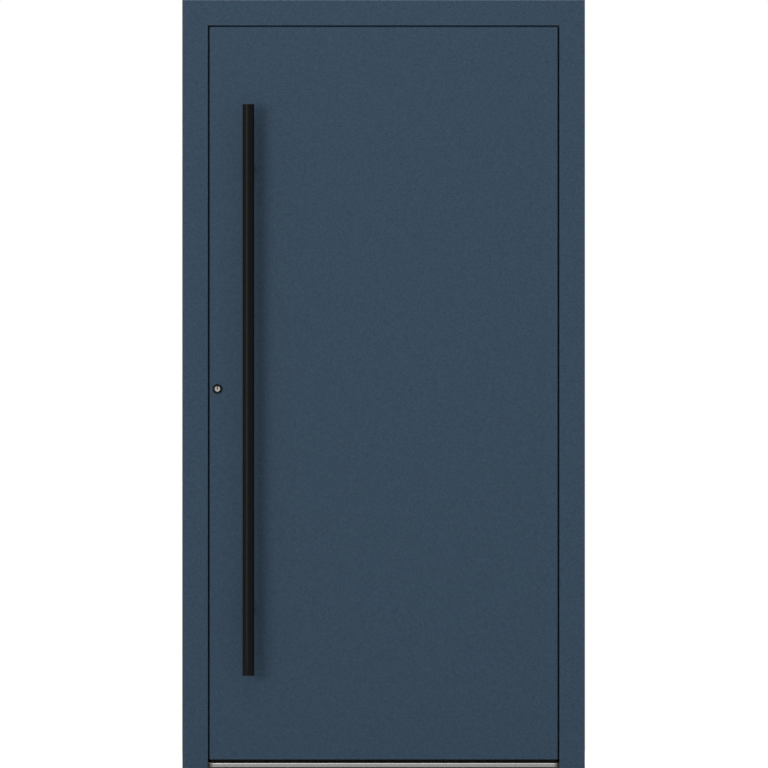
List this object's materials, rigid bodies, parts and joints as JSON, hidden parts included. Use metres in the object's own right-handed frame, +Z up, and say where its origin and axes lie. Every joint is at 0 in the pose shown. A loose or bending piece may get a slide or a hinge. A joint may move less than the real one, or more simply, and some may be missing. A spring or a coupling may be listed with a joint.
{
  "type": "aluminium front door with frame",
  "caption": "Flush inward-opening front door leaf in a thermally broken frame, with a long pull handle outside, a lever inside and a low threshold.",
  "frame": {"origin": "on the floor, at the middle of the frame's width and depth, on the underside of the threshold", "axes": "+Z up, +X to the right seen from outside, +Y into the building"},
  "size_m": [1.1, 0.2165, 2.1],
  "materials": {
    "powder_coat_blue": "fine-texture matt powder coat on aluminium",
    "black_polyamide": "glass-fibre polyamide, matt black",
    "seal_rubber": "black sealing rubber",
    "threshold_aluminium": "satin anodised",
    "hinge_aluminium": "satin anodised",
    "stainless_steel": "brushed",
    "lock_steel": "zinc-plated",
    "satin_nickel": "satin nickel on brass",
    "black_satin": "satin black coat on stainless steel",
    "insulating_foam": "rigid foam"
  },
  "bodies": {
    "frame": {"lock_jamb_outer_shell": "powder_coat_blue", "lock_jamb_inner_shell": "powder_coat_blue", "hinge_jamb_outer_shell": "powder_coat_blue", "hinge_jamb_inner_shell": "powder_coat_blue", "head_outer_shell": "powder_coat_blue", "head_inner_shell": "powder_coat_blue", "jamb_thermal_breaks": "black_polyamide", "head_thermal_break": "black_polyamide", "jamb_gaskets": "seal_rubber", "head_gaskets": "seal_rubber", "threshold_outer_rail": "threshold_aluminium", "threshold_inner_rail": "threshold_aluminium", "threshold_thermal_break": "black_polyamide", "threshold_base": "black_polyamide", "threshold_end_blocks": "black_polyamide", "strike_plates": "stainless_steel", "hinge_frame_knuckles": "hinge_aluminium", "hinge_pins": "stainless_steel"},
    "leaf": {"leaf_outer_sheet": "powder_coat_blue", "leaf_inner_sheet": "powder_coat_blue", "leaf_lock_stile": "powder_coat_blue", "leaf_hinge_stile": "powder_coat_blue", "leaf_top_rail": "powder_coat_blue", "leaf_bottom_rail": "powder_coat_blue", "leaf_side_beads": "powder_coat_blue", "leaf_cross_beads": "powder_coat_blue", "leaf_stile_thermal_breaks": "black_polyamide", "leaf_rail_thermal_breaks": "black_polyamide", "leaf_bead_gaskets": "seal_rubber", "leaf_bottom_seals": "seal_rubber", "hinge_leaf_knuckles": "hinge_aluminium", "lock_faceplate": "stainless_steel", "inside_lever": "stainless_steel", "inside_lever_rose": "stainless_steel", "inside_cylinder_rose": "stainless_steel", "lock_bolts": "lock_steel", "lock_cases": "lock_steel", "cylinder_housing": "satin_nickel", "inside_cylinder_plug": "satin_nickel", "pull_handle_tube": "black_satin", "pull_handle_caps": "black_satin", "pull_handle_supports": "black_satin", "outside_cylinder_ring": "black_satin", "leaf_foam_core": "insulating_foam"},
    "plug": {"outside_cylinder_plug": "satin_nickel"}
  },
  "joints": [
    {"name": "leaf_swing", "type": "hinge", "parent": "frame", "child": "leaf", "pos_m": [0.502, 0.055, 1.05], "axis": [0, 0, -1], "range_deg": [0, 105]},
    {"name": "key_turn", "type": "hinge", "parent": "leaf", "child": "plug", "pos_m": [-0.454, -0.028, 1.037], "axis": [0, -1, 0], "range_deg": [-90, 720]}
  ]
}
